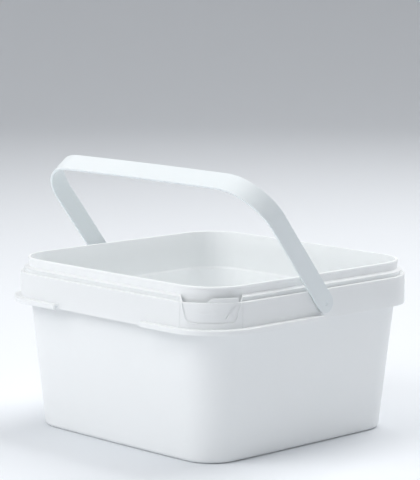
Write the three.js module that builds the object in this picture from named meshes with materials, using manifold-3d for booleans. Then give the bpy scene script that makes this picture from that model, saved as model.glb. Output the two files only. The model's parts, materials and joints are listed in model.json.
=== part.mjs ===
// A nearly square plastic bucket: one moulded tub with a snap rim, an outer skirt round a gutter for
// the lid's edge, a flexible strap handle that folds down on two hollow lips, and a tear tab that opens
// the skirt at one corner.
//
// Millimetres, +Z up. The origin is the middle of the underside. The handle turns about an axis along X
// and folds down towards -Y. The tear tab is at the corner of +X and -Y.
import * as THREE from "three";
import { mergeVertices } from "three/addons/utils/BufferGeometryUtils.js";
import Module from "manifold-3d";

const wasm = await Module();
wasm.setup();

// Body of the tub. A half-width is taken outside, at the middle of a side.
const height = 128.1; // underside to the top of the rim
const baseHalf = 97;
const baseCorner = 25; // corner radius in plan at the base
const flare = 10.3; // how much further out each side stands at the neck, the plain band under the rim
const neckCorner = 31.3; // corner radius in plan at the neck
const neckDraft = 0.6; // how much of the flare is left above the stacking step
const sideBow = 1; // how far the middle of a side stands out
const bodyWall = 1.4;
const floorThickness = 2.2;
const baseFillet = 3; // outer round from the underside to the wall
const floorFillet = 4; // inner round from the floor to the wall
const rimRadius = 0.7;
const rimOverhang = 0.3; // the rim's round edge stands out over the neck
const rimWall = 1.9;
const rimDepth = 2.2; // top of the rim to the underside of its edge

// Underside: a foot band round a shallow recess, with a flush pad in the middle.
const footWidth = 9;
const recessDepth = 0.7;
const recessSlope = 1;
const padHalf = 26;
const padCornerShare = 0.25; // of a ring's half-width, for rings inside the foot band

// Stacking step, where the wall jogs outwards and a nested bucket comes to rest. From here on every
// height is taken from the top of the rim, so it is negative.
const stepLow = -31.4;
const stepHigh = -27.2;
const stepOut = 0.9;

// Snap bead on the neck, which the lid's edge clicks under.
const beadOut = 2.9;
const beadTop = -5.6;
const beadTipTop = -6.9;
const beadTipLow = -7.8;
const beadLow = -8.7;

// Skirt: a thin wall that stands off the body, with a web between them at the bottom of the gutter.
const gutterWidth = 4.3; // neck to the inside of the skirt
const skirtWall = 1.4;
const skirtTop = -10.5;
const skirtLow = -32.5;
const skirtRound = 0.45;
const webTop = -13.5;
const webThickness = 1.3;

// Ribs between body and skirt, under the web.
const ribThickness = 1.2;
const ribLow = -29.2;
const ribPlaces = [36, 68]; // distances from the middle of a side

// Handle-rest lips: hollow channels round the skirt's lower edge, open below and at their ends.
const lipOut = 4.7;
const lipTop = -28.8;
const lipWall = 1.3;
const lipRound = 0.8;
const lipBackEnd = -3; // where a lip ends in Y, just in front of the handle's eye
const fingerGap = 92; // between the two lips, across the middle of the front

// Handle: a strap bent into a U that just passes over the skirt.
const pivotY = 0.5;
const pivotZ = -20.8;
const strapWidth = 15.2;
const strapThickness = 1.8;
const eyePlay = 0.5; // between an eye and the skirt
const legSplay = 0.6; // the legs are this much closer together at the bends, on each side
const handleBend = 36; // radius of the bends, outside
const gripBow = 0.5; // how far the middle of the grip stands out
const leanDegrees = 38.2; // from upright, towards -Y, as the bucket stands
const dimpleRadius = 1.9; // on the outside of each eye, over the peg
const dimpleDepth = 0.5;

// Snap pegs of the handle and their holes in the skirt.
const pegRadius = 2.9;
const pegBarb = 0.9; // how far the peg's head stands out behind the skirt
const pegHeadLength = 2;
const pegSplit = 0.9;

// Tear tab, drawn on the skirt's outside at the corner. Lengths along the skirt are taken from the
// middle of the corner.
const tabTopHalf = 21.2;
const tabLowHalf = 17.4; // where the sloping sides would meet the lower edge
const tabLow = -24.3;
const tabCorner = 5;
const slotWidth = 0.8;
const filmHalf = 9.2; // half the length of the film hinge
const bridgeTop = -11.6; // frangible bridges near the top of both side slots
const bridgeHeight = 1;
const lugTop = -7.3; // pry lug that stands up behind the tab's upper edge
const lugFoot = -3.1;
const lugShoulder = 0.1;
const lugEnd = 20.4;
const lugSetBack = 0.6;
const grooveTip = 10.4; // the set-back face runs down the tab as a groove with a point
const grooveTipHeight = -21.2;
const grooveNear = 15.5;
const grooveFar = 19.7;

// Opening in the gutter above the tab, straight across the corner, with an end wall on each side.
const mouthHalf = 21.2;
const mouthWall = 1.3;

// Fits
const clearance = 0.3; // between pieces that touch or nearly touch
const cutOver = 2; // how far a cutter runs past what it cuts
const overlap = 0.3; // how far joined forms of one piece reach into each other

// Facets
const sideSteps = 4;
const cornerSteps = 12;
const bendSteps = 9;
const gripSteps = 8;
const eyeSteps = 6;
const edgeSteps = 4;
const pegSteps = 20;
const tabSteps = 18;

// Worked out from the dimensions above
const neckHalf = baseHalf + flare;
const skirtHalf = neckHalf + gutterWidth + skirtWall;
const skirtCorner = neckCorner + gutterWidth + skirtWall;
const stepHalf = neckHalf - neckDraft;
const handleHalf = skirtHalf + eyePlay + strapThickness; // at the pivots, outside
const handleTopHalf = handleHalf - legSplay; // where the legs meet the bends
const skirtReach = Math.hypot(pivotY + skirtHalf, skirtTop - pivotZ); // pivot to the skirt's top edge
const handleReach = skirtReach + clearance + strapThickness - gripBow; // pivot to the bends' top
const lean = THREE.MathUtils.degToRad(leanDegrees);
const cornerCentre = cornerArc(skirtHalf, skirtCorner).centre;

// Materials

const white = new THREE.MeshStandardMaterial({ color: 0xeef4f6, roughness: 0.42, metalness: 0 });
const strapWhite = new THREE.MeshStandardMaterial({ color: 0xf1f7fa, roughness: 0.4, metalness: 0 });

// Outlines in plan

// The round corner of a square with bowed sides: its centre lies at (centre, centre), and the sides
// are arcs of sideRadius that run into it at the angle `tangent`.
function cornerArc(half, corner) {
  const sideRadius = (half ** 2 + sideBow ** 2) / (2 * sideBow);
  const back = sideRadius - half;
  const centre = (Math.sqrt(2 * (sideRadius - corner) ** 2 - back ** 2) - back) / 2;
  const tangent = Math.atan2(centre, centre + back);
  return { centre, tangent, sideRadius, back };
}

// One ring of the tub: the outline of a bowed square at the height z, as equally many points each time.
function ring(half, corner, z) {
  const { centre, tangent, sideRadius, back } = cornerArc(half, corner);
  const quarter = [];
  for (let i = 0; i < sideSteps; i++) {
    const angle = tangent * ((2 * i) / sideSteps - 1);
    quarter.push([sideRadius * Math.cos(angle) - back, sideRadius * Math.sin(angle)]);
  }
  for (let i = 0; i < cornerSteps; i++) {
    const angle = tangent + ((Math.PI / 2 - 2 * tangent) * i) / cornerSteps;
    quarter.push([centre + corner * Math.cos(angle), centre + corner * Math.sin(angle)]);
  }
  const turned = (turn) => ([x, y]) =>
    new THREE.Vector3(x, y, z).applyAxisAngle(new THREE.Vector3(0, 0, 1), (turn * Math.PI) / 2);
  return [0, 1, 2, 3].flatMap((turn) => quarter.map(turned(turn)));
}

// Rings of the body widen their corners with the taper; rings of the collar are offset from the skirt.
function bodyRing([half, z]) {
  const growth = (neckCorner - baseCorner) / flare;
  const corner = baseCorner + growth * (half - baseHalf);
  return ring(half, Math.max(corner, half * padCornerShare), z);
}

function collarRing([half, z]) {
  return ring(half, skirtCorner + half - skirtHalf, z);
}

// A place on the skirt near the tab: a length along its outside from the middle of the corner, a
// distance outwards from its outside, and a height.
function onCorner(along, out, z) {
  const angle = along / skirtCorner - Math.PI / 4;
  const radius = skirtCorner + out;
  const x = cornerCentre + radius * Math.cos(angle);
  const y = -cornerCentre + radius * Math.sin(angle);
  return new THREE.Vector3(x, y, z);
}

// Closed surfaces

// A skin through rings of equally many points. A capped skin is closed at both ends by a fan, and
// another one joins its last ring to its first.
function skin(rings, capped) {
  const count = rings[0].length;
  const points = rings.flat();
  const faces = [];
  const spans = capped ? rings.length - 1 : rings.length;
  for (let row = 0; row < spans; row++) {
    const here = row * count;
    const next = ((row + 1) % rings.length) * count;
    for (let i = 0; i < count; i++) {
      const j = (i + 1) % count;
      faces.push(here + i, here + j, next + j, here + i, next + j, next + i);
    }
  }
  if (capped) {
    const last = (rings.length - 1) * count;
    points.push(middle(rings[0]), middle(rings.at(-1)));
    for (let i = 0; i < count; i++) {
      const j = (i + 1) % count;
      faces.push(points.length - 2, j, i, points.length - 1, last + i, last + j);
    }
  }
  return new THREE.BufferGeometry().setFromPoints(points).setIndex(faces);
}

function middle(points) {
  const sum = points.reduce((total, point) => total.add(point), new THREE.Vector3());
  return sum.divideScalar(points.length);
}

// Solids for joining and cutting

function solid(geometry) {
  const bare = geometry.clone().deleteAttribute("normal").deleteAttribute("uv");
  const merged = mergeVertices(bare);
  const vertProperties = merged.attributes.position.array;
  const triVerts = new Uint32Array(merged.index.array);
  const made = new wasm.Manifold(new wasm.Mesh({ numProp: 3, vertProperties, triVerts }));
  return made.volume() < 0 ? solid(flipped(merged)) : made;
}

function flipped(geometry) {
  const index = Array.from(geometry.index.array);
  for (let i = 0; i < index.length; i += 3) {
    [index[i], index[i + 1]] = [index[i + 1], index[i]];
  }
  return geometry.clone().setIndex(index);
}

function piece(name, made, material) {
  const { vertProperties, triVerts } = made.getMesh();
  const geometry = new THREE.BufferGeometry();
  geometry.setAttribute("position", new THREE.BufferAttribute(vertProperties, 3));
  geometry.setIndex(new THREE.BufferAttribute(triVerts, 1));
  geometry.computeVertexNormals();
  const mesh = new THREE.Mesh(geometry, material);
  mesh.name = name;
  return mesh;
}

function block(from, to) {
  const size = to.map((value, axis) => value - from[axis]);
  const geometry = new THREE.BoxGeometry(...size);
  geometry.translate(...from.map((value, axis) => value + size[axis] / 2));
  return solid(geometry);
}

// Body of the tub

// Points of a quarter round between two directions, as [half-width, height].
function quarterRound(half, z, radius, fromAngle, toAngle, steps) {
  return Array.from({ length: steps + 1 }, (_, i) => {
    const angle = fromAngle + ((toAngle - fromAngle) * i) / steps;
    return [half + radius * Math.cos(angle), z + radius * Math.sin(angle)];
  });
}

function body() {
  const footInner = baseHalf - baseFillet - footWidth;
  const underside = [
    [padHalf, 0],
    [padHalf + recessSlope, recessDepth],
    [footInner - recessSlope, recessDepth],
    [footInner, 0],
  ];
  const baseEdge = quarterRound(baseHalf - baseFillet, baseFillet, baseFillet, -Math.PI / 2, 0, 4);
  const wallOutside = [
    [stepHalf - stepOut, height + stepLow],
    [stepHalf, height + stepHigh],
    [neckHalf, height - rimDepth],
  ];
  const rimOut = neckHalf + rimOverhang;
  const rimIn = rimOut - rimWall;
  const rim = [
    ...quarterRound(rimOut - rimRadius, height - rimDepth + rimRadius, rimRadius, -Math.PI / 3, 0, 2),
    ...quarterRound(rimOut - rimRadius, height - rimRadius, rimRadius, 0, Math.PI / 2, 3),
    ...quarterRound(rimIn + rimRadius / 2, height - rimRadius / 2, rimRadius / 2, Math.PI / 2, Math.PI, 2),
  ];
  const wallInside = [
    [stepHalf - bodyWall, height + stepHigh],
    [stepHalf - stepOut - bodyWall, height + stepLow],
  ];
  const floorHalf = baseHalf - bodyWall;
  const floorEdge = quarterRound(
    floorHalf - floorFillet,
    floorThickness + floorFillet,
    floorFillet,
    0,
    -Math.PI / 2,
    4,
  );
  const profile = [...underside, ...baseEdge, ...wallOutside, ...rim, ...wallInside, ...floorEdge];
  return solid(skin(profile.map(bodyRing), true));
}

// Collar of the tub: bead, web, skirt, ribs and lips, modelled with the top of the rim at height zero

function bead() {
  const root = neckHalf - bodyWall / 2;
  const tip = neckHalf + beadOut;
  const round = (beadTipTop - beadTipLow) / 4;
  const section = [
    [root, beadLow],
    [neckHalf, beadLow],
    [tip - round, beadTipLow],
    [tip, beadTipLow + round],
    [tip, beadTipTop - round],
    [tip - round, beadTipTop],
    [neckHalf, beadTop],
    [root, beadTop],
  ];
  return solid(skin(section.map(collarRing), false));
}

function skirtAndWeb() {
  const root = neckHalf - bodyWall / 2;
  const inside = skirtHalf - skirtWall;
  const section = [
    [root, webTop - webThickness],
    [inside, webTop - webThickness],
    [inside, skirtLow],
    [skirtHalf, skirtLow],
    ...quarterRound(skirtHalf - skirtRound, skirtTop - skirtRound, skirtRound, 0, Math.PI / 2, 3),
    ...quarterRound(inside + skirtRound, skirtTop - skirtRound, skirtRound, Math.PI / 2, Math.PI, 3),
    [inside, webTop],
    [root, webTop],
  ];
  return solid(skin(section.map(collarRing), false));
}

// Ribs stand square to the side that they are on, between the body and the skirt.
function ribs() {
  const from = stepHalf - bodyWall / 2;
  const to = skirtHalf - skirtWall / 2;
  const top = webTop - webThickness / 2;
  const made = [];
  for (const place of ribPlaces) {
    for (const side of [-1, 1]) {
      for (let turn = 0; turn < 4; turn++) {
        const low = side * place - ribThickness / 2;
        const geometry = new THREE.BoxGeometry(to - from, ribThickness, top - ribLow);
        geometry.translate((from + to) / 2, low + ribThickness / 2, (top + ribLow) / 2);
        geometry.rotateZ((turn * Math.PI) / 2);
        made.push(solid(geometry));
      }
    }
  }
  return made;
}

// Both lips start as one channel all round, and lose the back half and the finger gap.
function lips() {
  const root = skirtHalf - skirtWall / 2;
  const out = skirtHalf + lipOut;
  const section = [
    [root, lipTop - lipWall],
    [out - lipWall, lipTop - lipWall],
    [out - lipWall, skirtLow],
    [out, skirtLow],
    ...quarterRound(out - lipRound, lipTop - lipRound, lipRound, 0, Math.PI / 2, 3),
    [root, lipTop],
  ];
  const channel = solid(skin(section.map(collarRing), false));
  const far = out + cutOver;
  const back = block([-far, lipBackEnd, skirtLow - cutOver], [far, far, lipTop + cutOver]);
  const gap = block([-fingerGap / 2, -far, skirtLow - cutOver], [fingerGap / 2, 0, lipTop + cutOver]);
  return channel.subtract(back).subtract(gap);
}

// Tear tab and its opening, all bent round the corner

// A solid that follows the corner: at each place along the skirt it has a section from low to high and
// from the distance `inner` to the distance `outer`.
function bent(columns, inner, outer) {
  const rings = columns.map(({ along, low, high }) => [
    onCorner(along, outer, low),
    onCorner(along, outer, high),
    onCorner(along, inner, high),
    onCorner(along, inner, low),
  ]);
  return solid(skin(rings, true));
}

// A solid with one section, given as [distance outwards, height], between two places.
function bentSection(section, from, to, steps) {
  const rings = Array.from({ length: steps + 1 }, (_, i) => {
    const along = from + ((to - from) * i) / steps;
    return section.map(([out, z]) => onCorner(along, out, z));
  });
  return solid(skin(rings, true));
}

// Lower edge of the tab, grown by a margin: flat in the middle, a round corner, and a sloping side.
// Returned from the middle outwards as [length along, height].
function tabLowerEdge(margin) {
  const slope = Math.atan2(skirtTop - tabLow, tabTopHalf - tabLowHalf);
  const flat = tabLowHalf - tabCorner * Math.tan(slope / 2);
  const radius = tabCorner + margin;
  const points = [[0, tabLow - margin]];
  for (let i = 0; i <= tabSteps / 3; i++) {
    const angle = (slope * 3 * i) / tabSteps;
    points.push([flat + radius * Math.sin(angle), tabLow + tabCorner - radius * Math.cos(angle)]);
  }
  const top = skirtTop - skirtWall;
  const side = tabLowHalf + (top - tabLow) / Math.tan(slope) + margin / Math.sin(slope);
  return [...points, [side, top]];
}

// Columns across the tab between its lower edge and a flat top.
function tabColumns(margin, high) {
  const edge = tabLowerEdge(margin);
  const flat = edge[1][0];
  const inner = Array.from({ length: tabSteps / 3 }, (_, i) => [(flat * i * 3) / tabSteps, edge[0][1]]);
  const half = [...inner, ...edge.slice(1)].map(([along, low]) => ({ along, low, high }));
  const mirrored = half.slice(1).map((column) => ({ ...column, along: -column.along }));
  return [...mirrored.reverse(), ...half];
}

function tab() {
  const panel = bent(tabColumns(0, skirtTop), -skirtWall, 0);
  const filmLow = tabLow - slotWidth + clearance;
  const film = bent(evenColumns(-filmHalf, filmHalf, filmLow, tabLow + overlap), -skirtWall, 0);
  const lugColumns = [
    { along: lugFoot, low: skirtTop - skirtWall, high: skirtTop },
    { along: lugShoulder, low: skirtTop - skirtWall, high: lugTop },
    ...evenColumns(lugShoulder, lugEnd, skirtTop - skirtWall, lugTop).slice(1),
  ];
  const lug = bent(lugColumns, -skirtWall, -lugSetBack);
  return panel.add(film).add(lug).subtract(groove());
}

// The lug's set-back face runs down into the tab between two lines that meet in a point.
function groove() {
  const above = skirtTop + cutOver;
  const farLine = (along) =>
    grooveTipHeight + ((skirtTop - grooveTipHeight) * (along - grooveTip)) / (grooveFar - grooveTip);
  const columns = [
    { along: grooveTip, low: grooveTipHeight - clearance, high: grooveTipHeight },
    { along: grooveNear, low: farLine(grooveNear), high: skirtTop },
    { along: grooveNear, low: farLine(grooveNear), high: above },
    { along: grooveFar, low: farLine(grooveFar), high: above },
  ];
  return bent(columns, -lugSetBack, cutOver);
}

function evenColumns(from, to, low, high) {
  const count = Math.max(2, Math.round((tabSteps * (to - from)) / (2 * tabTopHalf)));
  const places = Array.from({ length: count + 1 }, (_, i) => from + ((to - from) * i) / count);
  return places.map((along) => ({ along, low, high }));
}

// Hole in the skirt round the tab, with the stubs of the frangible bridges left standing in it.
function tabOpening() {
  const through = bent(tabColumns(slotWidth, skirtTop + cutOver), -skirtWall - clearance, cutOver);
  return bridges().reduce((cutter, bridge) => cutter.subtract(bridge), through);
}

function bridges() {
  const edge = tabLowHalf + ((bridgeTop - tabLow) * (tabTopHalf - tabLowHalf)) / (skirtTop - tabLow);
  return [-1, 1].map((side) => {
    const from = side * (edge + clearance);
    const to = side * (edge + slotWidth + cutOver);
    const section = [
      [-skirtWall - cutOver, bridgeTop - bridgeHeight],
      [cutOver + cutOver, bridgeTop - bridgeHeight],
      [cutOver + cutOver, bridgeTop],
      [-skirtWall - cutOver, bridgeTop],
    ];
    return bentSection(section, from, to, 2);
  });
}

// The bead and the web stop at both sides of the tab, so that fingers reach behind it.
function mouth() {
  const section = [
    [-gutterWidth - skirtWall - bodyWall, webTop - webThickness - cutOver],
    [-skirtWall, webTop - webThickness - cutOver],
    [-skirtWall, skirtTop],
    [cutOver, skirtTop],
    [cutOver, beadTop + cutOver],
    [-gutterWidth - skirtWall - bodyWall, beadTop + cutOver],
  ];
  return pastCorner(section).intersect(across(-mouthHalf, mouthHalf));
}

// One section run along the whole corner and past it.
function pastCorner(section) {
  return bentSection(section, -skirtCorner, skirtCorner, 2 * tabSteps);
}

// A slab across the corner, whose two faces are parallel to the corner's diagonal.
function across(from, to) {
  const far = 2 * skirtHalf;
  return block([from, -far, -height], [to, 0, height]).rotate(0, 0, 45);
}

// Walls that close the gutter at both ends, from the web up to the bead.
function mouthWalls() {
  const root = -gutterWidth - skirtWall - bodyWall / 2;
  const section = [
    [root, webTop - webThickness],
    [-skirtWall / 2, webTop - webThickness],
    [-skirtRound, skirtTop],
    [beadOut - gutterWidth - skirtWall, beadTipTop],
    [-gutterWidth - skirtWall, beadTop],
    [root, beadTop],
  ];
  const outer = mouthHalf + mouthWall;
  return [[-outer, -mouthHalf], [mouthHalf, outer]].map((ends) => pastCorner(section).intersect(across(...ends)));
}

// Holes for the snap pegs, through both sides of the skirt.
function pegHoles() {
  const radius = pegRadius + clearance;
  const length = 2 * (skirtHalf + cutOver);
  const hole = new THREE.CylinderGeometry(radius, radius, length, pegSteps);
  hole.rotateZ(Math.PI / 2);
  hole.translate(0, pivotY, pivotZ);
  const inside = skirtHalf - skirtWall - gutterWidth / 2;
  const high = radius + cutOver;
  const between = block([-inside, pivotY - high, pivotZ - high], [inside, pivotY + high, pivotZ + high]);
  return solid(hole).subtract(between);
}

function tub() {
  let collar = skirtAndWeb().add(bead()).subtract(mouth());
  for (const part of [...mouthWalls(), ...ribs(), lips()]) {
    collar = collar.add(part);
  }
  collar = collar.subtract(tabOpening()).subtract(pegHoles());
  return body().add(collar.translate(0, 0, height));
}

// Handle, modelled upright about its pivot and then leant forward

// One section of the strap: a flat bar with round edges, at a point of its outer line. Its width lies
// along Y, and `inwards` points through its thickness.
function strapSection(point, inwards, halfWidth) {
  const round = strapThickness / 2;
  const straight = Math.max(halfWidth - round, 0);
  const points = [];
  for (const side of [1, -1]) {
    for (let i = 0; i <= edgeSteps; i++) {
      const angle = Math.PI * (i / edgeSteps - 1 / 2) + (side > 0 ? 0 : Math.PI);
      const across = side * straight + Math.min(halfWidth, round) * Math.cos(angle);
      const depth = round + round * Math.sin(angle);
      points.push(new THREE.Vector3(0, across, 0).add(point).addScaledVector(inwards, depth));
    }
  }
  return points;
}

// The outer line of the strap in its own plane, from one eye to the other, as stations that hold a
// point, the direction inwards and half the strap's width there.
function strapStations() {
  const eye = strapWidth / 2;
  const rise = handleReach - handleBend;
  const splay = Math.atan2(handleHalf - handleTopHalf, rise);
  const stations = [];
  const add = (x, z, angle, halfWidth) => {
    const inwards = new THREE.Vector3(-Math.cos(angle), 0, -Math.sin(angle));
    stations.push({ point: new THREE.Vector3(x, 0, z), inwards, halfWidth });
  };
  const onLeg = (z) => handleHalf - z * Math.tan(splay);
  for (let i = 0; i < eyeSteps; i++) {
    const angle = (Math.PI / 2) * (1 - (i + 1 / 3) / eyeSteps);
    add(onLeg(-eye * Math.sin(angle)), -eye * Math.sin(angle), splay, eye * Math.cos(angle));
  }
  add(onLeg(0), 0, splay, eye);
  for (let i = 0; i <= bendSteps; i++) {
    const angle = splay + ((Math.PI / 2 - splay) * i) / bendSteps;
    const x = handleTopHalf - handleBend + handleBend * Math.cos(angle);
    add(x, rise + handleBend * Math.sin(angle), angle, eye);
  }
  const gripHalf = handleTopHalf - handleBend;
  for (let i = 1; i <= gripSteps / 2; i++) {
    const share = 1 - (2 * i) / gripSteps;
    const bow = gripBow * (1 - share ** 2);
    const tilt = Math.atan2(2 * gripBow * share, gripHalf);
    add(gripHalf * share, handleReach + bow, Math.PI / 2 - tilt, eye);
  }
  const mirrored = stations.slice(0, -1).reverse().map(({ point, inwards, halfWidth }) => ({
    point: point.clone().setX(-point.x),
    inwards: inwards.clone().setX(-inwards.x),
    halfWidth,
  }));
  return [...stations, ...mirrored];
}

function strap() {
  const rings = strapStations().map(({ point, inwards, halfWidth }) =>
    strapSection(point, inwards, halfWidth),
  );
  return solid(skin(rings, true));
}

// A snap peg turned about X: a stem through the skirt and a barbed head behind it, split by a slot.
function peg(side) {
  const face = handleHalf - strapThickness / 2;
  const skirtInside = skirtHalf - skirtWall;
  const head = skirtInside - clearance;
  const tip = head - pegHeadLength;
  const profile = [
    [0, face],
    [pegRadius, face],
    [pegRadius, head],
    [pegRadius + pegBarb, head],
    [pegRadius + pegBarb, head - pegHeadLength / 4],
    [pegRadius - pegBarb / 2, tip],
    [0, tip],
  ].map(([radius, x]) => new THREE.Vector2(radius, x));
  const turned = new THREE.LatheGeometry(profile, pegSteps);
  turned.rotateZ(-Math.PI / 2);
  const far = pegRadius + pegBarb + cutOver;
  const slot = block([tip - cutOver, -pegSplit / 2, -far], [skirtHalf - skirtWall / 2, pegSplit / 2, far]);
  const made = solid(turned).subtract(slot);
  return side > 0 ? made : made.rotate(0, 0, 180);
}

function dimple(side) {
  const face = handleHalf - dimpleDepth;
  const profile = [
    [0, face],
    [dimpleRadius * Math.SQRT1_2, face],
    [dimpleRadius, handleHalf],
    [dimpleRadius, handleHalf + cutOver],
    [0, handleHalf + cutOver],
  ].map(([radius, x]) => new THREE.Vector2(radius, x));
  const turned = new THREE.LatheGeometry(profile, pegSteps);
  turned.rotateZ(-Math.PI / 2);
  const made = solid(turned);
  return side > 0 ? made : made.rotate(0, 0, 180);
}

function handle() {
  let made = strap();
  for (const side of [-1, 1]) {
    made = made.add(peg(side)).subtract(dimple(side));
  }
  return made;
}

// The assembled bucket

const bucket = new THREE.Group();
bucket.add(piece("tub", tub(), white));

const rimLevel = new THREE.Group();
rimLevel.position.z = height;
rimLevel.add(piece("tear_tab", tab(), white));
bucket.add(rimLevel);

const handlePivot = new THREE.Group();
handlePivot.position.set(0, pivotY, pivotZ);
handlePivot.rotation.x = lean;
handlePivot.add(piece("handle", handle(), strapWhite));
rimLevel.add(handlePivot);

export default bucket;
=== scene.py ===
# A nearly square white plastic bucket with a strap handle and a tear tab, in plain studio light.
# Lengths are in metres. The frame gives the outer sizes and the handle's pivot, and all other
# sizes are named here.
import json
import math

import bmesh
import bpy
from mathutils import Matrix, Vector


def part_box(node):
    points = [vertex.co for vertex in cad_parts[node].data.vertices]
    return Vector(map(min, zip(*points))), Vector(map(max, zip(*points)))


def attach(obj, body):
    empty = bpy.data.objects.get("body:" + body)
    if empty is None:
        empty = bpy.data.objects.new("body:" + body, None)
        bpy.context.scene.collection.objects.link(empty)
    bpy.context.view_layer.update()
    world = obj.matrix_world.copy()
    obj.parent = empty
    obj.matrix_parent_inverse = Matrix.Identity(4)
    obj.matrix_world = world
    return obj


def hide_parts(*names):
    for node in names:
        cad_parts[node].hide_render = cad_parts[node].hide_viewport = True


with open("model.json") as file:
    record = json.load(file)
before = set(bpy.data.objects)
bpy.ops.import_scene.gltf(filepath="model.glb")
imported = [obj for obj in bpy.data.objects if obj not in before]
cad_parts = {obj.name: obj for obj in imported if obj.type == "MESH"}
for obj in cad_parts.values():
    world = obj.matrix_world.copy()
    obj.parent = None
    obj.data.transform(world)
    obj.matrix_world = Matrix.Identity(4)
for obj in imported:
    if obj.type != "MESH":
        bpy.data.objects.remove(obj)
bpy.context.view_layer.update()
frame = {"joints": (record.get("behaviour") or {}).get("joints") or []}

MM = 0.001

# Outer sizes from the frame. A half-width is taken outside, at the middle of a side.
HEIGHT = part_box("tub")[1].z
LIP_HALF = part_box("tub")[1].x
HINGES = {joint["name"]: joint for joint in frame["joints"]}
PIVOT = Vector(HINGES["handle_hinge"]["pos_m"])

# Handle-rest lips, and the skirt that carries them
LIP_OUT = 4.7 * MM
LIP_TOP = HEIGHT - 28.8 * MM
LIP_WALL = 1.3 * MM
LIP_ROUND = 0.8 * MM
LIP_BACK_END = -3 * MM
FINGER_GAP = 92 * MM
SKIRT_HALF = LIP_HALF - LIP_OUT
SKIRT_WALL = 1.4 * MM
SKIRT_TOP = HEIGHT - 10.5 * MM
SKIRT_LOW = HEIGHT - 32.5 * MM
SKIRT_ROUND = 0.65 * MM
GUTTER_WIDTH = 4.3 * MM
WEB_TOP = HEIGHT - 10.9 * MM
WEB_THICKNESS = 1.3 * MM
RIB_THICKNESS = 1.2 * MM
RIB_LOW = HEIGHT - 29.2 * MM
RIB_PLACES = (36 * MM, 68 * MM)

# Body, from its base to the plain band under the rim
NECK_HALF = SKIRT_HALF - SKIRT_WALL - GUTTER_WIDTH
NECK_CORNER = 31.3 * MM
FLARE = 10.3 * MM
BASE_HALF = NECK_HALF - FLARE
BASE_CORNER = 25 * MM
NECK_DRAFT = 0.6 * MM
SKIRT_CORNER = NECK_CORNER + GUTTER_WIDTH + SKIRT_WALL
BOW = 1 * MM
BODY_WALL = 1.4 * MM
FLOOR_THICKNESS = 2.2 * MM
BASE_FILLET = 3 * MM
FLOOR_FILLET = 4 * MM
RIM_RADIUS = 0.7 * MM
RIM_OVERHANG = 0.3 * MM
RIM_WALL = 1.9 * MM
RIM_DEPTH = 2.2 * MM
STEP_LOW = HEIGHT - 30.4 * MM
STEP_HIGH = HEIGHT - 28.8 * MM
STEP_OUT = 0.9 * MM
STEP_ROUND = 0.4 * MM
STEP_EASE_SHARE = 0.1
FOOT_WIDTH = 9 * MM
RECESS_DEPTH = 0.7 * MM
RECESS_SLOPE = 1 * MM
PAD_HALF = 26 * MM
PAD_CORNER_SHARE = 0.25

# Snap bead
BEAD_OUT = 2.9 * MM
BEAD_TOP = HEIGHT - 6.5 * MM
BEAD_TIP_TOP = HEIGHT - 7.4 * MM
BEAD_TIP_LOW = HEIGHT - 8.4 * MM
BEAD_UNDERCUT = 0.6 * MM

# Tear tab, measured along the skirt from the middle of the corner. The slots and the gap at the
# film are drawn nearly closed, because wider ones show as dark lines, and the photograph has none.
TAB_TOP_HALF = 21.2 * MM
TAB_LOW_HALF = 17.4 * MM
TAB_LOW = HEIGHT - 24.3 * MM
TAB_CORNER = 5 * MM
SLOT_WIDTH = 0.06 * MM
SLOT_CHAMFER = 0.05 * MM
RIDGE_WIDTH = 1 * MM
RIDGE_HEIGHT = 0.45 * MM
FILM_HALF = 9.2 * MM
FILM_RECESS = 0.05 * MM
FILM_GAP = 0.03 * MM
BRIDGE_TOP = HEIGHT - 11.6 * MM
BRIDGE_HEIGHT = 1 * MM
LUG_TOP = HEIGHT - 7.3 * MM
LUG_FOOT = -3.1 * MM
LUG_SHOULDER = 0.1 * MM
LUG_END = 20.4 * MM
LUG_SET_BACK = 0.8 * MM
GROOVE_TIP = 10.4 * MM
GROOVE_TIP_HEIGHT = HEIGHT - 21.2 * MM
GROOVE_NEAR = 15.5 * MM
GROOVE_FAR = 19.7 * MM
GROOVE_DEPTH = 0.6 * MM
MOUTH_HALF = 21.2 * MM
MOUTH_WALL = 0.9 * MM
MOUTH_LEAN = 0.3
WITNESS_PLACE = 23.3 * MM
WITNESS_WIDTH = 0.6 * MM
WITNESS_DEPTH = 0.35 * MM
TAB_EDGE = 0.45 * MM
LUG_EDGE = 0.25 * MM

# Raised arrow on the tab, which shows which way it tears
ARROW_START = -12.6 * MM
ARROW_NECK = 0.8 * MM
ARROW_END = 6.1 * MM
ARROW_HEIGHT = HEIGHT - 18.1 * MM
ARROW_SHAFT = 0.8 * MM
ARROW_HEAD = 2.8 * MM
ARROW_RELIEF = 0.5 * MM

# Handle: a strap, modelled upright about its pivot and then leant forward
STRAP_WIDTH = 15.2 * MM
STRAP_THICKNESS = 1.8 * MM
STRAP_ROUND = 0.35 * MM
EYE_PLAY = 0.5 * MM
LEG_SPLAY = 0.6 * MM
HANDLE_BEND = 36 * MM
GRIP_BOW = 0.5 * MM
LEAN = math.radians(38.2)
DIMPLE_RADIUS = 1.9 * MM
DIMPLE_DEPTH = 0.5 * MM
DIMPLE_FLOOR_SHARE = 0.7
PEG_RADIUS = 2.9 * MM
PEG_BARB = 0.9 * MM
PEG_HEAD_LENGTH = 2 * MM
PEG_SPLIT = 0.9 * MM
GATE_RADIUS = 0.7 * MM
GATE_HEIGHT = 0.3 * MM

# Clearance of moving parts. Cutters reach over what they cut, and joined forms overlap.
CLEARANCE = 0.3 * MM
OVER = 2 * MM
OVERLAP = 0.3 * MM

# Points closer than the first are merged. Outlines stand apart by the second while they are joined.
MERGE = 0.001 * MM
STACK_STEP = 10 * MM

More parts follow.
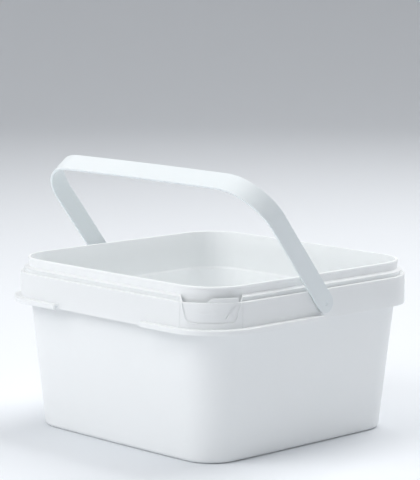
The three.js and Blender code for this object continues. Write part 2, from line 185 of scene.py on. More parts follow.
# How finely round stretches are divided
SIDE_STEPS = 6
CORNER_STEPS = 24
ROUND_STEPS = 4
EDGE_STEPS = 3
ROUND_PROFILE = 0.5
PANEL_CORNER_STEPS = 8
FILLET_STEPS = 8
BEND_STEPS = 28
GRIP_STEPS = 24
EYE_STEPS = 32
PEG_STEPS = 40
TAB_COLUMNS = 32

# Angles in degrees. Edges sharper than a crease are shaded crisp. The last is for edges that are
# made round.
TUB_CREASE = 35
TAB_CREASE = 50
STRAP_CREASE = 40
ROUNDED_FROM = 40

HANDLE_HALF = SKIRT_HALF + EYE_PLAY + STRAP_THICKNESS
HANDLE_TOP_HALF = HANDLE_HALF - LEG_SPLAY
SKIRT_REACH = math.hypot(PIVOT.y + SKIRT_HALF, SKIRT_TOP - PIVOT.z)
HANDLE_REACH = SKIRT_REACH + CLEARANCE + STRAP_THICKNESS - GRIP_BOW


# Plan outlines

def corner_arc(half, corner):
    """The round corner of a square with bowed sides.

    Returns its centre along either axis, the angle where a side meets it, that side's radius, and
    how far the side's centre lies behind the middle of the square."""
    side_radius = (half ** 2 + BOW ** 2) / (2 * BOW)
    back = side_radius - half
    centre = (math.sqrt(2 * (side_radius - corner) ** 2 - back ** 2) - back) / 2
    return centre, math.atan2(centre, centre + back), side_radius, back


CORNER_CENTRE = corner_arc(SKIRT_HALF, SKIRT_CORNER)[0]


def outline(bm, half, corner, z):
    """Spins a point round a bowed square, side by side and corner by corner, into a closed loop."""
    centre, tangent, side_radius, back = corner_arc(half, corner)
    known = set(bm.edges)
    start = Vector((side_radius * math.cos(tangent) - back, -side_radius * math.sin(tangent), z))
    first = last = bm.verts.new(start)
    for quarter in range(4):
        turn = Matrix.Rotation(quarter * math.pi / 2, 3, "Z")
        side = (Vector((-back, 0, z)), 2 * tangent, SIDE_STEPS)
        bend = (Vector((centre, centre, z)), math.pi / 2 - 2 * tangent, CORNER_STEPS)
        for middle, angle, steps in (side, bend):
            made = bmesh.ops.spin(bm, geom=[last], cent=turn @ middle, axis=(0, 0, 1), angle=angle,
                                  steps=steps, use_merge=False)
            last = only(made["geom_last"], bmesh.types.BMVert)[0]
    bmesh.ops.weld_verts(bm, targetmap={last: first})
    return [edge for edge in bm.edges if edge not in known]


def body_corner(half):
    """The body's corners widen with its taper."""
    corner = BASE_CORNER + (NECK_CORNER - BASE_CORNER) * (half - BASE_HALF) / FLARE
    return max(corner, half * PAD_CORNER_SHARE)


def collar_corner(half):
    """Everything on the collar is offset from the skirt."""
    return SKIRT_CORNER + half - SKIRT_HALF


def arc(half, z, radius, start, end, steps):
    """Points of a round between two directions in degrees, as (half-width, height)."""
    angles = [math.radians(start + (end - start) * i / steps) for i in range(steps + 1)]
    return [(half + radius * math.cos(a), z + radius * math.sin(a)) for a in angles]


def loft(name, profile, corner_of, capped):
    """A closed skin through outlines: capped at both ends, or joined from the last to the first.

    The outlines stand apart until they are bridged, because a bridge between level loops can
    twist."""
    bm = bmesh.new()
    stacked = [i * STACK_STEP for i in range(len(profile))]
    rings = [outline(bm, half, corner_of(half), level)
             for (half, z), level in zip(profile, stacked)]
    for low, high in zip(rings, rings[1:]):
        bmesh.ops.bridge_loops(bm, edges=low + high)
    if capped:
        bmesh.ops.contextual_create(bm, geom=rings[0])
        bmesh.ops.contextual_create(bm, geom=rings[-1])
    else:
        bmesh.ops.bridge_loops(bm, edges=rings[-1] + rings[0])
    for ring, (half, z), level in zip(rings, profile, stacked):
        verts = list({vert for edge in ring for vert in edge.verts})
        bmesh.ops.translate(bm, verts=verts, vec=(0, 0, z - level))
    return finished(name, bm)


# Objects

def only(items, kind):
    """The vertices, edges or faces among the mixed items that an operator returns."""
    return [item for item in items if isinstance(item, kind)]


def finished(name, bm):
    """Turns a bmesh into an object at the origin, with merged points and outward faces."""
    bmesh.ops.remove_doubles(bm, verts=bm.verts, dist=MERGE)
    bmesh.ops.recalc_face_normals(bm, faces=bm.faces)
    mesh = bpy.data.meshes.new(name)
    bm.to_mesh(mesh)
    bm.free()
    made = bpy.data.objects.new(name, mesh)
    bpy.context.scene.collection.objects.link(made)
    return made


def combine(target, tool, operation):
    """Joins a tool to the target or cuts it away, and deletes the tool."""
    modifier = target.modifiers.new("combine", "BOOLEAN")
    modifier.solver = "MANIFOLD"
    modifier.operation = operation
    modifier.object = tool
    graph = bpy.context.evaluated_depsgraph_get()
    mesh = bpy.data.meshes.new_from_object(target.evaluated_get(graph))
    target.modifiers.clear()
    target.data = mesh
    bpy.data.objects.remove(tool)
    return target


def smooth(target, sharp_degrees):
    """Shades curved stretches smooth and keeps edges crisp. Large faces lead the normals."""
    target.data.shade_smooth()
    target.data.set_sharp_from_angle(angle=math.radians(sharp_degrees))
    modifier = target.modifiers.new("normals", "WEIGHTED_NORMAL")
    modifier.keep_sharp = True
    return target


def block(bm, low, high):
    """A box between two corners."""
    low, high = Vector(low), Vector(high)
    place = Matrix.Translation((low + high) / 2) @ Matrix.Diagonal((*(high - low), 1))
    return bmesh.ops.create_cube(bm, size=1, matrix=place)["verts"]


def prism(points, depth, corner_offsets=()):
    """A flat panel between given points, some of its corners rounded, extruded by a vector."""
    bm = bmesh.new()
    verts = [bm.verts.new(point) for point in points]
    bm.faces.new(verts)
    for index, offset in corner_offsets:
        bmesh.ops.bevel(bm, geom=[verts[index]], offset=offset, affect="VERTICES",
                        segments=PANEL_CORNER_STEPS, profile=ROUND_PROFILE, material=-1)
    made = bmesh.ops.extrude_face_region(bm, geom=bm.faces[:])
    bmesh.ops.translate(bm, verts=only(made["geom"], bmesh.types.BMVert), vec=depth)
    return bm


def panel(points, front, back, corner_offsets=()):
    """A flat panel between two depths below the skirt's outside.

    Its points are given as (length along the skirt, height)."""
    return prism([(x, front, z) for x, z in points], (0, back - front, 0), corner_offsets)


def round_edges(bm, width, low):
    """Rounds the sharp edges that lie above a height."""
    bmesh.ops.remove_doubles(bm, verts=bm.verts, dist=MERGE)
    bmesh.ops.recalc_face_normals(bm, faces=bm.faces)
    sharp = [edge for edge in bm.edges if edge.calc_face_angle() > math.radians(ROUNDED_FROM)
             and all(vert.co.z > low for vert in edge.verts)]
    bmesh.ops.bevel(bm, geom=sharp, offset=width, affect="EDGES", segments=EDGE_STEPS,
                    profile=ROUND_PROFILE, material=-1)
    return bm


def flared(points, start, corner_offsets=()):
    """A flat cutter that widens outwards at 45 degrees from a depth below the skirt's outside."""
    bm = panel(points, start, -OVER, corner_offsets)
    xs, zs = [x for x, z in points], [z for x, z in points]
    middle = Vector(((min(xs) + max(xs)) / 2, 0, max(zs)))
    wide, deep = (max(xs) - min(xs)) / 2, max(zs) - min(zs)
    growth = start + OVER
    outer = [vert for vert in bm.verts if vert.co.y < 0]
    bmesh.ops.scale(bm, vec=(1 + growth / wide, 1, 1 + growth / deep), verts=outer,
                    space=Matrix.Translation(-middle))
    return bm


def bent(name, bm):
    """Divides a flat form into columns and bends it round the tab's corner.

    Until it is bent, x runs along the skirt and -y outwards."""
    xs = [vert.co.x for vert in bm.verts]
    width = 2 * TAB_TOP_HALF / TAB_COLUMNS
    for i in range(math.ceil(min(xs) / width), math.floor(max(xs) / width) + 1):
        geom = bm.verts[:] + bm.edges[:] + bm.faces[:]
        bmesh.ops.bisect_plane(bm, geom=geom, dist=MERGE, plane_co=(i * width, 0, 0),
                               plane_no=(1, 0, 0))
    for vert in bm.verts:
        angle = vert.co.x / SKIRT_CORNER - math.pi / 4
        radius = SKIRT_CORNER - vert.co.y
        vert.co.x = CORNER_CENTRE + radius * math.cos(angle)
        vert.co.y = -CORNER_CENTRE + radius * math.sin(angle)
    return finished(name, bm)


# Tub

def body():
    foot_inner = BASE_HALF - BASE_FILLET - FOOT_WIDTH
    underside = [(PAD_HALF, 0), (PAD_HALF + RECESS_SLOPE, RECESS_DEPTH),
                 (foot_inner - RECESS_SLOPE, RECESS_DEPTH), (foot_inner, 0)]
    base_edge = arc(BASE_HALF - BASE_FILLET, BASE_FILLET, BASE_FILLET, -90, 0, FILLET_STEPS)
    step_half = NECK_HALF - NECK_DRAFT
    outside = [(step_half - STEP_OUT, STEP_LOW), (step_half, STEP_HIGH),
               (NECK_HALF, HEIGHT - RIM_DEPTH)]
    rim_out = NECK_HALF + RIM_OVERHANG
    rim_in = rim_out - RIM_WALL
    inner_radius = RIM_RADIUS / 2
    edge = rim_out - RIM_RADIUS
    rim = [
        *arc(edge, HEIGHT - RIM_DEPTH + RIM_RADIUS, RIM_RADIUS, -60, 0, ROUND_STEPS),
        *arc(edge, HEIGHT - RIM_RADIUS, RIM_RADIUS, 0, 90, ROUND_STEPS),
        *arc(rim_in + inner_radius, HEIGHT - inner_radius, inner_radius, 90, 180, ROUND_STEPS),
    ]
    inside = [
        (step_half - BODY_WALL, STEP_HIGH + STEP_ROUND),
        (step_half - BODY_WALL - STEP_OUT * STEP_EASE_SHARE, STEP_HIGH),
        (step_half - BODY_WALL - STEP_OUT * (1 - STEP_EASE_SHARE), STEP_LOW + STEP_ROUND),
        (step_half - BODY_WALL - STEP_OUT, STEP_LOW),
    ]
    floor_half = BASE_HALF - BODY_WALL
    floor_edge = arc(floor_half - FLOOR_FILLET, FLOOR_THICKNESS + FLOOR_FILLET, FLOOR_FILLET,
                     0, -90, FILLET_STEPS)
    profile = underside + base_edge + outside + rim + inside + floor_edge
    return loft("tub_shell", profile, body_corner, True)


def bead():
    root = NECK_HALF - BODY_WALL / 2
    tip = NECK_HALF + BEAD_OUT
    radius = (BEAD_TIP_TOP - BEAD_TIP_LOW) / 2
    low = WEB_TOP - WEB_THICKNESS / 2
    nose = arc(tip - radius, BEAD_TIP_LOW + radius, radius, -90, 90, 2 * ROUND_STEPS)
    behind = tip - BEAD_UNDERCUT
    section = [(root, low), (behind, low), (behind, BEAD_TIP_LOW), *nose[1:],
               (NECK_HALF, BEAD_TOP), (root, BEAD_TOP)]
    return loft("bead", section, collar_corner, False)


def skirt_and_web():
    root = NECK_HALF - BODY_WALL / 2
    inside = SKIRT_HALF - SKIRT_WALL
    low_round = SKIRT_ROUND / 2
    section = [
        (root, WEB_TOP - WEB_THICKNESS),
        (inside, WEB_TOP - WEB_THICKNESS),
        *arc(inside + low_round, SKIRT_LOW + low_round, low_round, 180, 270, ROUND_STEPS),
        *arc(SKIRT_HALF - low_round, SKIRT_LOW + low_round, low_round, -90, 0, ROUND_STEPS),
        *arc(SKIRT_HALF - SKIRT_ROUND, SKIRT_TOP - SKIRT_ROUND, SKIRT_ROUND, 0, 90, ROUND_STEPS),
        *arc(inside + SKIRT_ROUND, SKIRT_TOP - SKIRT_ROUND, SKIRT_ROUND, 90, 180, ROUND_STEPS),
        (inside, WEB_TOP),
        (root, WEB_TOP),
    ]
    return loft("tub_collar", section, collar_corner, False)


def ribs():
    """Ribs stand square to the side that they are on, between the body and the skirt."""
    near = NECK_HALF - NECK_DRAFT - BODY_WALL / 2
    far = SKIRT_HALF - SKIRT_WALL / 2
    top = WEB_TOP - WEB_THICKNESS / 2
    bm = bmesh.new()
    for place in RIB_PLACES:
        for side in (-1, 1):
            for quarter in range(4):
                middle = side * place
                verts = block(bm, (near, middle - RIB_THICKNESS / 2, RIB_LOW),
                              (far, middle + RIB_THICKNESS / 2, top))
                turn = Matrix.Rotation(quarter * math.pi / 2, 3, "Z")
                bmesh.ops.rotate(bm, verts=verts, cent=(0, 0, 0), matrix=turn)
    return finished("ribs", bm)


def lips():
    """Both lips start as one channel all round, and lose the back half and the finger gap."""
    root = SKIRT_HALF - SKIRT_WALL / 2
    out = LIP_HALF
    edge = LIP_WALL / 4
    section = [
        (root, LIP_TOP - LIP_WALL),
        (out - LIP_WALL, LIP_TOP - LIP_WALL),
        *arc(out - LIP_WALL + edge, SKIRT_LOW + edge, edge, 180, 270, ROUND_STEPS),
        *arc(out - edge, SKIRT_LOW + edge, edge, -90, 0, ROUND_STEPS),
        *arc(out - LIP_ROUND, LIP_TOP - LIP_ROUND, LIP_ROUND, 0, 90, ROUND_STEPS),
        (root, LIP_TOP),
    ]
    channel = loft("lips", section, collar_corner, False)
    far = out + OVER
    low, high = SKIRT_LOW - OVER, LIP_TOP + OVER
    for corner, other in (
        ((-far, LIP_BACK_END, low), (far, far, high)),
        ((-FINGER_GAP / 2, -far, low), (FINGER_GAP / 2, 0, high)),
    ):
        bm = bmesh.new()
        block(bm, corner, other)
        combine(channel, finished("cutter", bm), "DIFFERENCE")
    return channel


def bent_section(name, section, start, end):
    """A form of one section, given as (distance outwards, height), run along the corner."""
    return bent(name, prism([(start, -out, z) for out, z in section], (end - start, 0, 0)))


def mouth():
    """The bead and the web stop at both sides of the tab, so that fingers reach behind it."""
    back = -GUTTER_WIDTH - SKIRT_WALL - BODY_WALL
    low = WEB_TOP - WEB_THICKNESS - OVER
    section = [(back, low), (-SKIRT_WALL, low), (-SKIRT_WALL, SKIRT_TOP), (OVER, SKIRT_TOP),
               (OVER, BEAD_TOP + OVER), (back, BEAD_TOP + OVER)]
    return combine(past_corner("mouth", section), across(-MOUTH_HALF, MOUTH_HALF), "INTERSECT")


def past_corner(name, section):
    """One section run along the whole corner and past it."""
    return bent_section(name, section, -SKIRT_CORNER, SKIRT_CORNER)


def across(start, end):
    """A slab across the corner, with its faces along the corner's diagonal.

    Below the top of the bead they lean inwards."""
    bm = bmesh.new()
    verts = block(bm, (start, -2 * SKIRT_HALF, 0), (end, 0, 2 * HEIGHT))
    for vert in verts:
        vert.co.x += math.copysign(MOUTH_LEAN, vert.co.x) * (vert.co.z - BEAD_TOP)
    bmesh.ops.rotate(bm, verts=verts, cent=(0, 0, 0), matrix=Matrix.Rotation(math.pi / 4, 3, "Z"))
    return finished("slab", bm)


def mouth_wall(side):
    """A wall that closes the gutter at one end, from the web up to the bead."""
    root = -GUTTER_WIDTH - SKIRT_WALL - BODY_WALL / 2
    neck = -GUTTER_WIDTH - SKIRT_WALL
    low = WEB_TOP - WEB_THICKNESS
    section = [(root, low), (-SKIRT_WALL / 2, low), (-SKIRT_ROUND, SKIRT_TOP),
               (neck + BEAD_OUT, BEAD_TIP_TOP), (neck, BEAD_TOP), (root, BEAD_TOP)]
    ends = sorted((side * MOUTH_HALF, side * (MOUTH_HALF + MOUTH_WALL)))
    return combine(past_corner("mouth_wall", section), across(*ends), "INTERSECT")


def tab_shape(margin, top):
    """Corners of the tab, grown by a margin and drawn out up to a height.

    Returns them, and the rounded ones as (index, how far the round reaches)."""
    slope = math.atan2(SKIRT_TOP - TAB_LOW, TAB_TOP_HALF - TAB_LOW_HALF)
    def half(z):
        return TAB_LOW_HALF + (z - TAB_LOW) / math.tan(slope) + margin / math.sin(slope)
    low = TAB_LOW - margin
    points = [(-half(low), low), (half(low), low), (half(top), top), (-half(top), top)]
    reach = (TAB_CORNER + margin) * math.tan(slope / 2)
    return points, [(0, reach), (1, reach)]


def tab_opening():
    """Hole in the skirt round the tab, with the stubs of the frangible bridges left in it."""
    points, rounds = tab_shape(SLOT_WIDTH, SKIRT_TOP + OVER)
    return without_bridges(bent("opening", panel(points, -OVER, OVER + SKIRT_WALL, rounds)))


def without_bridges(cutter):
    """Keeps a cutter off the frangible bridges, which reach up to the tab."""
    edge = max(x for x, z in tab_shape(0, BRIDGE_TOP)[0])
    low, high = BRIDGE_TOP - BRIDGE_HEIGHT, BRIDGE_TOP
    back, front = -SKIRT_WALL - OVER, 2 * OVER
    section = [(back, low), (front, low), (front, high), (back, high)]
    for side in (-1, 1):
        start, end = side * (edge + FILM_GAP), side * (edge + SLOT_CHAMFER + 2 * OVER)
        combine(cutter, bent_section("bridge", section, start, end), "DIFFERENCE")
    return cutter


def opening_chamfer():
    """Slants the inner side of the ridge round the opening, but not along the film hinge."""
    points, rounds = tab_shape(SLOT_WIDTH, SKIRT_TOP + OVER)
    return without_bridges(beside_film(bent("chamfer", flared(points, SLOT_CHAMFER, rounds))))


def slot_ridge():
    """A low ridge outside the slots, which stiffens the opening's edge and catches the light."""
    points, rounds = tab_shape(SLOT_WIDTH + RIDGE_WIDTH, SKIRT_TOP - SKIRT_ROUND)
    return beside_film(bent("ridge", panel(points, -RIDGE_HEIGHT, SKIRT_WALL / 2, rounds)))


def beside_film(form):
    """Takes away what a form has along the film hinge."""
    low = TAB_LOW - TAB_CORNER
    section = [(-OVER, low), (2 * OVER, low), (2 * OVER, TAB_LOW), (-OVER, TAB_LOW)]
    return combine(form, bent_section("film_place", section, -FILM_HALF, FILM_HALF), "DIFFERENCE")


def witness_line(side):
    """A fine line down the skirt, where two parts of the mould met."""
    place = side * WITNESS_PLACE
    half = WITNESS_WIDTH / 2
    groove = [(place - half, -WITNESS_DEPTH, LIP_TOP), (place + half, -WITNESS_DEPTH, LIP_TOP),
              (place, WITNESS_DEPTH, LIP_TOP)]
    return bent("witness", prism(groove, (0, 0, SKIRT_TOP + OVER - LIP_TOP)))


def peg_hole(side):
    """Round hole through the skirt for a snap peg."""
    radius = PEG_RADIUS + CLEARANCE
    inside = SKIRT_HALF - SKIRT_WALL - GUTTER_WIDTH / 2
    length = SKIRT_HALF + OVER - inside
    place = Matrix.Translation((side * (inside + length / 2), PIVOT.y, PIVOT.z))
    bm = bmesh.new()
    bmesh.ops.create_cone(bm, cap_ends=True, segments=PEG_STEPS, radius1=radius, radius2=radius,
                          depth=length, matrix=place @ Matrix.Rotation(math.pi / 2, 4, "Y"))
    return finished("peg_hole", bm)


def tub():
    collar = combine(skirt_and_web(), bead(), "UNION")
    combine(collar, mouth(), "DIFFERENCE")
    for part in (mouth_wall(-1), mouth_wall(1), ribs(), lips(), slot_ridge()):
        combine(collar, part, "UNION")
    for cutter in (tab_opening(), opening_chamfer(), peg_hole(-1), peg_hole(1), witness_line(-1),
                   witness_line(1)):
        combine(collar, cutter, "DIFFERENCE")
    shell = body()
    combine(shell, collar, "UNION")
    return smooth(shell, TUB_CREASE)


# Tear tab

def tear_tab():
    points, rounds = tab_shape(0, SKIRT_TOP)
    form = round_edges(panel(points, 0, SKIRT_WALL, rounds), TAB_EDGE, SKIRT_TOP - MERGE)
    tab = finished("tab", form)

    low = SKIRT_TOP - SKIRT_WALL
    shoulder_run = (LUG_SHOULDER - LUG_FOOT) * SKIRT_WALL / (LUG_TOP - SKIRT_TOP)
    lug = [(LUG_FOOT - shoulder_run, low), (LUG_END, low), (LUG_END, LUG_TOP),
           (LUG_SHOULDER, LUG_TOP)]
    rounds = [(2, LUG_SET_BACK), (3, LUG_SET_BACK)]
    lug = round_edges(panel(lug, LUG_SET_BACK, SKIRT_WALL, rounds), LUG_EDGE, low - MERGE)
    combine(tab, finished("lug", lug), "UNION")

    film = bmesh.new()
    block(film, (-FILM_HALF, FILM_RECESS, TAB_LOW - SLOT_WIDTH + FILM_GAP),
          (FILM_HALF, SKIRT_WALL - FILM_RECESS, TAB_LOW + OVERLAP))
    combine(tab, finished("film", film), "UNION")

    arrow = [(ARROW_START, -ARROW_SHAFT), (ARROW_NECK, -ARROW_SHAFT), (ARROW_NECK, -ARROW_HEAD),
             (ARROW_END, 0), (ARROW_NECK, ARROW_HEAD), (ARROW_NECK, ARROW_SHAFT),
             (ARROW_START, ARROW_SHAFT)]
    arrow = panel([(x, ARROW_HEIGHT + z) for x, z in arrow], -ARROW_RELIEF, OVERLAP)
    combine(tab, finished("arrow", arrow), "UNION")

    above = SKIRT_TOP + OVER
    groove = [(GROOVE_TIP, GROOVE_TIP_HEIGHT), (GROOVE_FAR, SKIRT_TOP), (GROOVE_FAR, above),
              (GROOVE_NEAR, above), (GROOVE_NEAR, SKIRT_TOP)]
    combine(tab, finished("groove", flared(groove, GROOVE_DEPTH)), "DIFFERENCE")

    bm = bmesh.new()
    bm.from_mesh(tab.data)
    bpy.data.objects.remove(tab)
    return smooth(bent("tear_panel", bm), TAB_CREASE)


# Handle

def strap_half():
    """Half of the strap: a flat bar that runs from the middle of the grip round the bend.

    Returns the bar, its end, and the direction and length of the leg that still has to be drawn
    out of that end."""
    edge = STRAP_THICKNESS / 2
    rise = HANDLE_REACH - HANDLE_BEND
    splay = math.atan2(LEG_SPLAY, rise)
    top = HANDLE_REACH + GRIP_BOW

    bm = bmesh.new()
    sides = 4 * ROUND_STEPS
    across_grip = Matrix.Rotation(math.pi / sides, 4, "X") @ Matrix.Rotation(math.pi / 2, 4, "Y")
    section = bmesh.ops.create_circle(bm, segments=sides, radius=STRAP_ROUND,
                                      matrix=across_grip)["verts"]
    for vert in section:
        vert.co.y += math.copysign(STRAP_WIDTH / 2 - STRAP_ROUND, vert.co.y)
        vert.co.z += math.copysign(edge - STRAP_ROUND, vert.co.z)
    # The section gets points in its middle, because the eye is later spun from its front half.
    bmesh.ops.bisect_plane(bm, geom=bm.verts[:] + bm.edges[:], plane_co=(0, 0, 0),
                           plane_no=(0, 1, 0))
    bmesh.ops.translate(bm, verts=bm.verts, vec=(0, 0, top - edge))
    loop = bm.edges[:]

    grip_half = HANDLE_TOP_HALF - HANDLE_BEND
    sag = math.atan2(GRIP_BOW, grip_half)
    grip_radius = (grip_half ** 2 + GRIP_BOW ** 2) / (2 * GRIP_BOW)
    made = bmesh.ops.spin(bm, geom=loop, cent=(0, 0, top - grip_radius), axis=(0, 1, 0),
                          angle=2 * sag, steps=GRIP_STEPS, use_merge=False)
    loop = only(made["geom_last"], bmesh.types.BMEdge)
    made = bmesh.ops.spin(bm, geom=loop, cent=(grip_half, 0, rise), axis=(0, 1, 0),
                          angle=math.pi / 2 - splay - 2 * sag, steps=BEND_STEPS, use_merge=False)
    loop = only(made["geom_last"], bmesh.types.BMEdge)
    made = bmesh.ops.extrude_edge_only(bm, edges=loop)
    end = only(made["geom"], bmesh.types.BMVert)
    leg = Vector((math.sin(splay), 0, -math.cos(splay)))
    return bm, end, leg, rise / math.cos(splay)


def handle():
    bm, end, leg, length = strap_half()
    bmesh.ops.translate(bm, verts=end, vec=leg * length)
    normal = leg.cross(Vector((0, 1, 0)))
    middle = sum((vert.co for vert in end), Vector()) / len(end)
    front = [vert for vert in end if vert.co.y > -MERGE]
    rim = [edge for edge in bm.edges if all(vert in front for vert in edge.verts)]
    bmesh.ops.spin(bm, geom=rim, cent=middle, axis=normal, angle=-math.pi, steps=EYE_STEPS,
                   use_merge=False)
    bmesh.ops.mirror(bm, geom=bm.verts[:] + bm.edges[:] + bm.faces[:], axis="X", merge_dist=MERGE)
    strap = finished("strap", bm)
    for side in (-1, 1):
        combine(strap, peg(side), "UNION")
        combine(strap, dimple(side), "DIFFERENCE")
    combine(strap, gate_mark(), "UNION")
    place = Matrix.Translation(PIVOT) @ Matrix.Rotation(LEAN, 4, "X")
    strap.data.transform(place)
    return smooth(strap, STRAP_CREASE)


def gate_mark():
    """The stub left where the melt entered the mould, in the middle of the grip's front edge."""
    bm = bmesh.new()
    length = GATE_HEIGHT + OVERLAP
    low = -STRAP_WIDTH / 2 - GATE_HEIGHT
    place = Matrix.Translation((0, low + length / 2, HANDLE_REACH + GRIP_BOW - STRAP_THICKNESS / 2))
    bmesh.ops.create_cone(bm, cap_ends=True, segments=PEG_STEPS, radius1=GATE_RADIUS,
                          radius2=GATE_RADIUS, depth=length,
                          matrix=place @ Matrix.Rotation(math.pi / 2, 4, "X"))
    return finished("gate_mark", bm)


def turned(name, profile, side):
    """Spins a half section about the pivot. Its points are (radius, distance from the middle)."""
    bm = bmesh.new()
    verts = [bm.verts.new((side * x, radius, 0)) for radius, x in profile]
    edges = [bm.edges.new(pair) for pair in zip(verts, verts[1:])]
    bmesh.ops.spin(bm, geom=verts + edges, cent=(0, 0, 0), axis=(1, 0, 0), angle=2 * math.pi,
                   steps=PEG_STEPS, use_merge=True)
    return finished(name, bm)


def peg(side):
    """A snap peg: a stem through the skirt and a barbed head behind it, split by a slot."""
    face = HANDLE_HALF - STRAP_THICKNESS / 2
    head = SKIRT_HALF - SKIRT_WALL - CLEARANCE
    tip = head - PEG_HEAD_LENGTH
    barb = PEG_RADIUS + PEG_BARB
    profile = [(0, face), (PEG_RADIUS, face), (PEG_RADIUS, head), (barb, head),
               (barb, head - PEG_HEAD_LENGTH / 4), (PEG_RADIUS - PEG_BARB / 2, tip), (0, tip)]
    made = turned("peg", profile, side)
    bm = bmesh.new()
    far = barb + OVER
    ends = sorted((side * (tip - OVER), side * (SKIRT_HALF - SKIRT_WALL / 2)))
    block(bm, (ends[0], -PEG_SPLIT / 2, -far), (ends[1], PEG_SPLIT / 2, far))
    return combine(made, finished("split", bm), "DIFFERENCE")


def dimple(side):
    """A shallow round dimple on the outside of an eye, over its peg."""
    face = HANDLE_HALF - DIMPLE_DEPTH
    outside = HANDLE_HALF + OVER
    profile = [(0, face), (DIMPLE_RADIUS * DIMPLE_FLOOR_SHARE, face), (DIMPLE_RADIUS, HANDLE_HALF),
               (DIMPLE_RADIUS, outside), (0, outside)]
    return turned("dimple", profile, side)


# Materials

# Polypropylene. Its flow patches and its grain are given by size, and the grain also by height.
IOR = 1.49
TRANSLUCENCY = 0.55
GLOSS_SPREAD = 0.04
FLOW_SIZE = 45.5 * MM
GRAIN_SIZE = 0.625 * MM
GRAIN_HEIGHT = 0.05 * MM
GRAIN_STRENGTH = 0.05
FLOOR_ROUGHNESS = 0.9

# Places of a mix node's colour sockets, because its other sockets have the same names
MIX_COLOUR_A, MIX_COLOUR_B, MIX_COLOUR_OUT = 6, 7, 2


def linear(hex_colour):
    """An sRGB hex colour as linear values."""
    parts = [int(hex_colour[i:i + 2], 16) / 255 for i in (1, 3, 5)]
    return (*[p / 12.92 if p <= 0.04045 else ((p + 0.055) / 1.055) ** 2.4 for p in parts], 1)


def node(tree, kind, settings=(), links=()):
    """Adds a node, sets its properties and inputs, and links other nodes' outputs to its inputs."""
    made = tree.nodes.new(kind)
    for name, value in settings:
        if isinstance(name, str) and hasattr(made, name):
            setattr(made, name, value)
        else:
            made.inputs[name].default_value = value
    for name, source in links:
        tree.links.new(source, made.inputs[name])
    return made


def moulded_polypropylene(name, colour, tint, roughness, depth):
    """White polypropylene from a polished mould: satin, with faint cloudy flow.

    Light goes in by about `depth` and comes out again, so edges and thin walls look soft."""
    material = bpy.data.materials.new(name)
    material.use_nodes = True
    tree = material.node_tree
    tree.nodes.clear()
    place = node(tree, "ShaderNodeTexCoord").outputs["Object"]
    flow = node(tree, "ShaderNodeTexNoise", [("Scale", 1 / FLOW_SIZE), ("Detail", 3)],
                [("Vector", place)])
    cloud = flow.outputs["Fac"]
    colours = [(MIX_COLOUR_A, linear(colour)), (MIX_COLOUR_B, linear(tint))]
    shade = node(tree, "ShaderNodeMix", [("data_type", "RGBA"), *colours], [("Factor", cloud)])
    gloss = node(tree, "ShaderNodeMapRange",
                 [("To Min", roughness - GLOSS_SPREAD), ("To Max", roughness + GLOSS_SPREAD)],
                 [("Value", cloud)])
    # Mould grain of about 0.1 mm is drawn at 0.6 mm, because the real one is too fine to show.
    grain = node(tree, "ShaderNodeTexNoise", [("Scale", 1 / GRAIN_SIZE), ("Detail", 2)],
                 [("Vector", place)])
    relief = node(tree, "ShaderNodeBump",
                  [("Strength", GRAIN_STRENGTH), ("Distance", GRAIN_HEIGHT)],
                  [("Height", grain.outputs["Fac"])])
    shader = node(tree, "ShaderNodeBsdfPrincipled",
                  [("IOR", IOR), ("Subsurface Weight", TRANSLUCENCY),
                   ("Subsurface Radius", (1, 1, 1)), ("Subsurface Scale", depth)],
                  [("Base Color", shade.outputs[MIX_COLOUR_OUT]),
                   ("Roughness", gloss.outputs["Result"]), ("Normal", relief.outputs["Normal"])])
    node(tree, "ShaderNodeOutputMaterial", links=[("Surface", shader.outputs["BSDF"])])
    return material


def painted_floor():
    """Matt pale studio paint, which gives no reflection of the bucket."""
    material = bpy.data.materials.new("pale_matt_floor")
    material.use_nodes = True
    shader = material.node_tree.nodes["Principled BSDF"]
    shader.inputs["Base Color"].default_value = linear("#EBEEF2")
    shader.inputs["Roughness"].default_value = FLOOR_ROUGHNESS
    return material


def dress(piece, material, body, node_name):
    """Gives a piece its material, hangs it under its body, and hides the CAD node whose place it
    takes.
    """
    piece.data.materials.clear()
    piece.data.materials.append(material)
    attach(piece, body)
    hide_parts(node_name)


# Stage

# The camera comes from a fit to the photograph. Its focal length and shift are in pixels, and the
# frame's pixels are those of the longer side. The sensor is in millimetres, as Blender has it.
CAMERA_TARGET = Vector((0, 0, 60 * MM))
CAMERA_DISTANCE = 1664.9 * MM
CAMERA_AZIMUTH = math.radians(45.363)
CAMERA_ELEVATION = math.radians(11.029)
CAMERA_PITCH = math.radians(8.317)
CAMERA_ROLL = math.radians(0.418)
FOCAL_PIXELS = 2206.9
FRAME_PIXELS = 480
SENSOR = 36
FRAMING_SHIFT = (-3.071 / FRAME_PIXELS, 1.424 / FRAME_PIXELS)
VIEW_END = 100
SWEEP_RADIUS = 4
SWEEP_ROUND = 1.6
SWEEP_HEIGHT = 3
SWEEP_STEPS = 84
WORLD_STRENGTH = 0.3

# Name, azimuth and elevation in degrees, distance and size in metres, power in watts
LIGHTS = (
    ("key_light", -20, 40, 1.9, 1.2, 15.4),
    ("back_light", 180, 58, 2.2, 1.6, 27.5),
    ("top_light", 0, 90, 1.7, 1.6, 8.2),
)


def direction(azimuth, elevation):
    """From the bucket towards a place seen at an azimuth and elevation."""
    flat = math.cos(elevation)
    return Vector((math.sin(azimuth) * flat, -math.cos(azimuth) * flat, math.sin(elevation)))


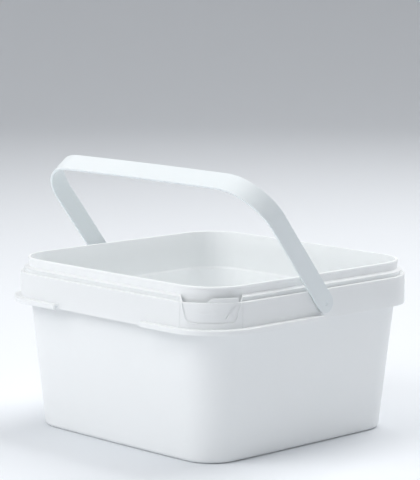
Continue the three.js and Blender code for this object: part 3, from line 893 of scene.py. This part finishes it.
def camera():
    data = bpy.data.cameras.new("camera")
    data.sensor_width = SENSOR
    data.lens = FOCAL_PIXELS / FRAME_PIXELS * SENSOR
    data.shift_x, data.shift_y = FRAMING_SHIFT
    data.clip_end = VIEW_END
    made = bpy.data.objects.new("camera", data)
    back = direction(CAMERA_AZIMUTH, CAMERA_PITCH)
    right = Vector((0, 0, 1)).cross(back).normalized()
    up = back.cross(right)
    tilted_right = right * math.cos(CAMERA_ROLL) + up * math.sin(CAMERA_ROLL)
    tilted_up = up * math.cos(CAMERA_ROLL) - right * math.sin(CAMERA_ROLL)
    axes = Matrix((tilted_right, tilted_up, back)).transposed()
    place = CAMERA_TARGET + CAMERA_DISTANCE * direction(CAMERA_AZIMUTH, CAMERA_ELEVATION)
    made.matrix_world = Matrix.Translation(place) @ axes.to_4x4()
    bpy.context.scene.collection.objects.link(made)
    bpy.context.scene.camera = made


def soft_light(name, azimuth, elevation, distance, size, power):
    """A large square light that faces the bucket."""
    data = bpy.data.lights.new(name, "AREA")
    data.size = size
    data.energy = power
    made = bpy.data.objects.new(name, data)
    towards = direction(math.radians(azimuth), math.radians(elevation))
    turn = towards.to_track_quat("Z", "Y").to_matrix().to_4x4()
    made.matrix_world = Matrix.Translation(CAMERA_TARGET + towards * distance) @ turn
    made.visible_camera = False
    bpy.context.scene.collection.objects.link(made)


def studio():
    """A floor that rises into a round white sweep, three soft lights and a weak even glow."""
    bm = bmesh.new()
    sweep = [(0, 0), *arc(SWEEP_RADIUS - SWEEP_ROUND, SWEEP_ROUND, SWEEP_ROUND, -90, 0, BEND_STEPS),
             (SWEEP_RADIUS, SWEEP_HEIGHT)]
    verts = [bm.verts.new((radius, 0, z)) for radius, z in sweep]
    edges = [bm.edges.new(pair) for pair in zip(verts, verts[1:])]
    bmesh.ops.spin(bm, geom=verts + edges, cent=(0, 0, 0), axis=(0, 0, 1), angle=2 * math.pi,
                   steps=SWEEP_STEPS, use_merge=True)
    floor = finished("floor", bm)
    floor.data.flip_normals()
    floor.data.shade_smooth()
    floor.data.materials.append(painted_floor())
    world = bpy.data.worlds.new("studio")
    world.use_nodes = True
    glow = world.node_tree.nodes["Background"]
    glow.inputs["Color"].default_value = linear("#FFFFFF")
    glow.inputs["Strength"].default_value = WORLD_STRENGTH
    bpy.context.scene.world = world
    for light in LIGHTS:
        soft_light(*light)
    bpy.context.scene.view_settings.view_transform = "Standard"


camera()
studio()
tub_plastic = moulded_polypropylene(
    "satin_white_polypropylene", colour="#F8FBFC", tint="#F4F8F9", roughness=0.42, depth=1.8 * MM)
# The strap is the same plastic as the tub. Its colour is drawn a little greyer as painted shade, so
# that it comes out as dark as it looks in this light.
shade_greyed_strap_plastic = moulded_polypropylene(
    "satin_white_strap_polypropylene", colour="#EFF4F6", tint="#EAF0F2", roughness=0.4,
    depth=0.5 * MM)
dress(tub(), tub_plastic, "tub", "tub")
dress(tear_tab(), tub_plastic, "tear_tab", "tear_tab")
dress(handle(), shade_greyed_strap_plastic, "handle", "handle")
